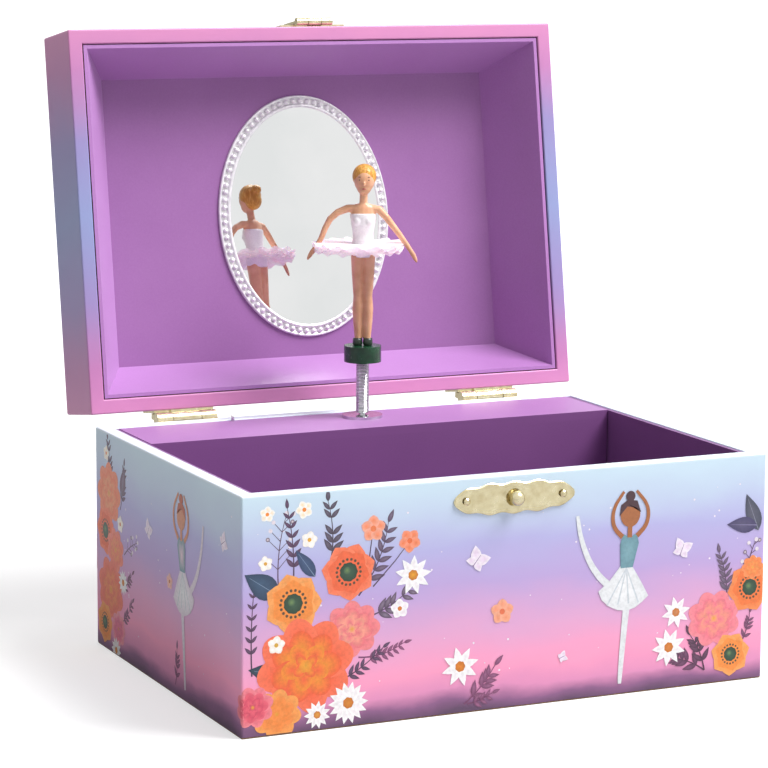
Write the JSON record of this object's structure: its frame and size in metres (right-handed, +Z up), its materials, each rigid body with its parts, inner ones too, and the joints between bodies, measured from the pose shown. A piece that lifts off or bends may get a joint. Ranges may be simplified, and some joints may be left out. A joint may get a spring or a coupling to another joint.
{
  "type": "ballerina jewellery box",
  "caption": "Musical jewellery box with a mirrored hinged lid, brass clasp, lined compartment and a dancer who turns on a spring and folds down as the lid shuts.",
  "frame": {"origin": "centre of the case's underside, on the surface it stands on", "axes": "+X to the box's right seen from the front, +Y to the back where the hinges are, +Z up; the lid is open"},
  "size_m": [0.152, 0.1529, 0.1737],
  "materials": {
    "fibreboard": "raw fibreboard",
    "printed_paper": "printed, satin varnish",
    "lilac_lining": "satin paper on card",
    "brass_plate": "brass-plated pressed steel",
    "mirror_glass": "silvered",
    "silver_frame": "silvered moulding",
    "figure_plastic": "painted",
    "tutu_net": "gathered net",
    "green_plastic": "moulded",
    "spring_steel": "close-wound wire",
    "plated_steel": "plated",
    "movement_metal": "die cast",
    "gear_brass": "machined",
    "fly_plastic": "moulded"
  },
  "bodies": {
    "case": {"base_board": "fibreboard", "front_board": "fibreboard", "back_board": "fibreboard", "left_board": "fibreboard", "right_board": "fibreboard", "case_wrap": "printed_paper", "case_lining": "lilac_lining", "compartment_floor": "lilac_lining", "bay_divider": "lilac_lining", "platform": "lilac_lining", "platform_rest": "fibreboard", "clasp_plate": "brass_plate", "clasp_stud": "brass_plate", "clasp_nails": "brass_plate", "hinge_case_leaves": "brass_plate", "hinge_pins": "brass_plate", "hinge_nails_case": "brass_plate", "bedplate": "movement_metal", "movement_screws": "spring_steel", "spring_barrel": "movement_metal", "mainspring": "spring_steel", "comb": "spring_steel", "comb_base": "movement_metal", "drum_bracket_inner": "movement_metal", "drum_bracket_outer": "movement_metal", "governor_bracket": "movement_metal", "shaft_guide": "movement_metal", "shaft_bush": "plated_steel", "key_eyelet": "plated_steel"},
    "lid": {"lid_top_board": "fibreboard", "lid_front_board": "fibreboard", "lid_back_board": "fibreboard", "lid_left_board": "fibreboard", "lid_right_board": "fibreboard", "lid_wrap": "printed_paper", "lid_lining_sides": "lilac_lining", "lid_lining_panel": "lilac_lining", "mirror_frame": "silver_frame", "mirror_glass": "mirror_glass", "hinge_lid_leaves": "brass_plate", "hinge_nails_lid": "brass_plate", "hasp_plate": "brass_plate", "hasp_pin": "brass_plate", "hasp_nails": "brass_plate"},
    "hasp": {"hasp_flap": "brass_plate"},
    "dancer_tilt": {"dancer_spring": "spring_steel"},
    "dancer": {"dancer_stand": "green_plastic", "dancer_figure": "figure_plastic", "dancer_tutu": "tutu_net"},
    "winder": {"winding_arbor": "spring_steel", "crown_gear": "gear_brass", "winding_key": "plated_steel"},
    "drum": {"drum_shaft": "spring_steel", "music_drum": "gear_brass", "drum_gear": "gear_brass"},
    "governor": {"governor_shaft": "spring_steel", "governor_wheel": "gear_brass"},
    "fly": {"air_fly": "fly_plastic"},
    "upright": {"drive_shaft": "spring_steel"},
    "stop": {"stop_wire": "spring_steel"}
  },
  "joints": [
    {"name": "lid_hinge", "type": "hinge", "parent": "case", "child": "lid", "pos_m": [0, 0.0566, 0.06215], "axis": [1, 0, 0], "range_deg": [0, 99]},
    {"name": "hasp_flap", "type": "hinge", "parent": "lid", "child": "hasp", "pos_m": [0, 0.07647, 0.1726], "axis": [1, 0, 0], "range_deg": [0, 180]},
    {"name": "dancer_fold", "type": "hinge", "parent": "case", "child": "dancer_tilt", "pos_m": [0, 0.041, 0.0702], "axis": [1, 0, 0], "range_deg": [0, 103.01], "deforming": ["dancer_spring"]},
    {"name": "dancer_spin", "type": "hinge", "parent": "dancer_tilt", "child": "dancer", "pos_m": [0, 0.041, 0.0702], "axis": [0, 0, 1], "continuous": true},
    {"name": "winding", "type": "hinge", "parent": "case", "child": "winder", "pos_m": [0, 0.041, 0.032], "axis": [0, 1, 0], "continuous": true},
    {"name": "drum_turn", "type": "hinge", "parent": "case", "child": "drum", "pos_m": [-0.02, 0.041, 0.032], "axis": [1, 0, 0], "continuous": true},
    {"name": "governor_turn", "type": "hinge", "parent": "case", "child": "governor", "pos_m": [-0.031, 0.0362, 0.0384], "axis": [1, 0, 0], "continuous": true},
    {"name": "fly_turn", "type": "hinge", "parent": "case", "child": "fly", "pos_m": [-0.035, 0.0362, 0.0464], "axis": [1, 0, 0], "continuous": true},
    {"name": "shaft_turn", "type": "hinge", "parent": "case", "child": "upright", "pos_m": [0, 0.041, 0.05], "axis": [0, 0, 1], "continuous": true},
    {"name": "stop_slide", "type": "slide", "parent": "case", "child": "stop", "axis": [0, 0, -1], "range_m": [0, 0.00141]}
  ],
  "couplings": [
    {"joint": "dancer_fold", "follows": "lid_hinge", "ratio": 1.0404},
    {"joint": "stop_slide", "follows": "lid_hinge", "m_per_rad": 0.00081024},
    {"joint": "drum_turn", "follows": "winding", "ratio": 3},
    {"joint": "governor_turn", "follows": "winding", "ratio": -9},
    {"joint": "fly_turn", "follows": "winding", "ratio": 27},
    {"joint": "shaft_turn", "follows": "winding", "ratio": -3},
    {"joint": "dancer_spin", "follows": "winding", "ratio": -3}
  ]
}
